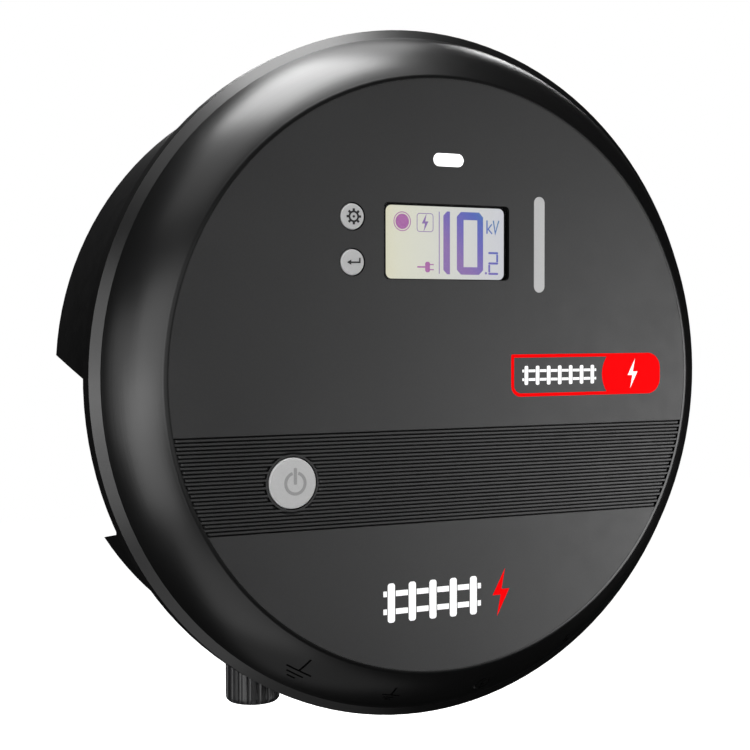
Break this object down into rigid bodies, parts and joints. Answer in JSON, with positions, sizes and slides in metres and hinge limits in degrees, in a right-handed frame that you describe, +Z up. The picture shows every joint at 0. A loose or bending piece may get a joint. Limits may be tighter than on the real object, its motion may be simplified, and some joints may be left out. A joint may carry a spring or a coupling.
{
  "type": "electric fence energizer",
  "caption": "Round wall-hung electric fence energizer with a lit display, push buttons, a ribbed band and screw terminals under the housing.",
  "frame": {"origin": "centre of the round housing, on its flat back where it meets the wall", "axes": "+Z up, +Y into the wall, so the front faces -Y and +X is on the right seen from the front"},
  "size_m": [0.28, 0.1047, 0.28],
  "materials": {
    "shell_plastic": "deep black moulded plastic, finely grained",
    "cover_plastic": "black moulded plastic with a satin sheen and a fine grain",
    "panel_plastic": "charcoal moulded plastic, finely grained",
    "gasket_rubber": "matt black",
    "screw_steel": "zinc plated",
    "window_clear": "clear, lightly smoked",
    "lcd_panel": "pale display with dark segments",
    "diffuser_white": "white light guide",
    "inner_black_plastic": "plain black",
    "lens_white": "milky white, lit",
    "lens_grey": "frosted light grey",
    "button_grey": "light grey, satin",
    "switch_metal": "pressed sheet",
    "circuit_board": "green solder resist",
    "led_clear": "clear resin",
    "ribbon_grey": "flat grey cable",
    "core_steel": "varnished steel sheets",
    "copper_wire": "enamelled copper",
    "wire_enamel": "wound coil under yellow tape",
    "capacitor_sleeve": "blue shrink sleeve",
    "capacitor_black": "black shrink sleeve",
    "chip_black": "moulded epoxy",
    "heat_sink_aluminium": "extruded",
    "relay_blue": "moulded blue case",
    "fuse_glass": "clear tube",
    "tinned_brass": "tin plated",
    "connector_green": "moulded green",
    "lead_red": "insulated wire",
    "lead_black": "insulated wire",
    "stud_steel": "stainless",
    "collar_green": "moulded green",
    "collar_yellow": "moulded yellow",
    "collar_red": "moulded red",
    "knob_plastic": "black, fluted",
    "insert_brass": "turned",
    "inlet_plastic": "black"
  },
  "bodies": {
    "housing": {"rear_shell": "shell_plastic", "housing_gasket": "gasket_rubber", "front_cover": "cover_plastic", "face_panel": "panel_plastic", "housing_screws": "screw_steel", "display_window": "window_clear", "display_glass": "lcd_panel", "display_backlight": "diffuser_white", "display_frame": "inner_black_plastic", "status_lens": "lens_white", "signal_bar_lens": "lens_grey", "button_switches": "switch_metal", "display_board": "circuit_board", "display_board_screws": "screw_steel", "indicator_leds": "led_clear", "ribbon_cable": "ribbon_grey", "main_board": "circuit_board", "main_board_screws": "screw_steel", "transformer_core": "core_steel", "transformer_bobbin": "inner_black_plastic", "primary_winding": "copper_wire", "secondary_winding": "wire_enamel", "transformer_clamp": "switch_metal", "storage_capacitors": "capacitor_sleeve", "supply_capacitors": "capacitor_black", "thyristor": "chip_black", "heat_sink": "heat_sink_aluminium", "output_relay": "relay_blue", "supply_fuse": "fuse_glass", "fuse_clips": "tinned_brass", "lead_connector": "connector_green", "output_leads": "lead_red", "lead_lugs": "tinned_brass", "terminal_studs": "stud_steel", "stud_nuts": "stud_steel", "earth_collars": "collar_green", "fence_low_collar": "collar_yellow", "fence_high_collar": "collar_red", "power_inlet": "inlet_plastic", "power_inlet_nut": "stud_steel", "power_inlet_contacts": "tinned_brass", "inlet_leads": "lead_black"},
    "settings_button": {"settings_button": "button_grey", "settings_plunger": "inner_black_plastic"},
    "enter_button": {"enter_button": "button_grey", "enter_plunger": "inner_black_plastic"},
    "power_button": {"power_button": "button_grey", "power_plunger": "inner_black_plastic"},
    "earth_knob": {"earth_knob": "knob_plastic", "earth_insert": "insert_brass"},
    "earth_washer": {"earth_washer": "stud_steel"},
    "ground_check_knob": {"ground_check_knob": "knob_plastic", "ground_check_insert": "insert_brass"},
    "ground_check_washer": {"ground_check_washer": "stud_steel"},
    "fence_low_knob": {"fence_low_knob": "knob_plastic", "fence_low_insert": "insert_brass"},
    "fence_low_washer": {"fence_low_washer": "stud_steel"},
    "fence_high_knob": {"fence_high_knob": "knob_plastic", "fence_high_insert": "insert_brass"},
    "fence_high_washer": {"fence_high_washer": "stud_steel"}
  },
  "joints": [
    {"name": "settings_press", "type": "slide", "parent": "housing", "child": "settings_button", "axis": [0, 1, 0], "range_m": [0, 0.0008], "stiffness_N_per_m": 600},
    {"name": "enter_press", "type": "slide", "parent": "housing", "child": "enter_button", "axis": [0, 1, 0], "range_m": [0, 0.0008], "stiffness_N_per_m": 600},
    {"name": "power_press", "type": "slide", "parent": "housing", "child": "power_button", "axis": [0, 1, 0], "range_m": [0, 0.001], "stiffness_N_per_m": 600},
    {"name": "earth_clamp_slide", "type": "slide", "parent": "housing", "child": "earth_washer", "axis": [0, 0, -1], "range_m": [0, 0.0063]},
    {"name": "earth_knob_turn", "type": "hinge", "parent": "earth_washer", "child": "earth_knob", "pos_m": [-0.0615, -0.0485, -0.12], "axis": [0, 0, -1], "range_deg": [0, 1800]},
    {"name": "ground_check_clamp_slide", "type": "slide", "parent": "housing", "child": "ground_check_washer", "axis": [0, 0, -1], "range_m": [0, 0.0063]},
    {"name": "ground_check_knob_turn", "type": "hinge", "parent": "ground_check_washer", "child": "ground_check_knob", "pos_m": [-0.0205, -0.0485, -0.12], "axis": [0, 0, -1], "range_deg": [0, 1800]},
    {"name": "fence_low_clamp_slide", "type": "slide", "parent": "housing", "child": "fence_low_washer", "axis": [0, 0, -1], "range_m": [0, 0.0063]},
    {"name": "fence_low_knob_turn", "type": "hinge", "parent": "fence_low_washer", "child": "fence_low_knob", "pos_m": [0.0205, -0.0485, -0.12], "axis": [0, 0, -1], "range_deg": [0, 1800]},
    {"name": "fence_high_clamp_slide", "type": "slide", "parent": "housing", "child": "fence_high_washer", "axis": [0, 0, -1], "range_m": [0, 0.0063]},
    {"name": "fence_high_knob_turn", "type": "hinge", "parent": "fence_high_washer", "child": "fence_high_knob", "pos_m": [0.0615, -0.0485, -0.12], "axis": [0, 0, -1], "range_deg": [0, 1800]}
  ],
  "couplings": [
    {"joint": "earth_clamp_slide", "follows": "earth_knob_turn", "m_per_rad": 0.00019894},
    {"joint": "ground_check_clamp_slide", "follows": "ground_check_knob_turn", "m_per_rad": 0.00019894},
    {"joint": "fence_low_clamp_slide", "follows": "fence_low_knob_turn", "m_per_rad": 0.00019894},
    {"joint": "fence_high_clamp_slide", "follows": "fence_high_knob_turn", "m_per_rad": 0.00019894}
  ]
}
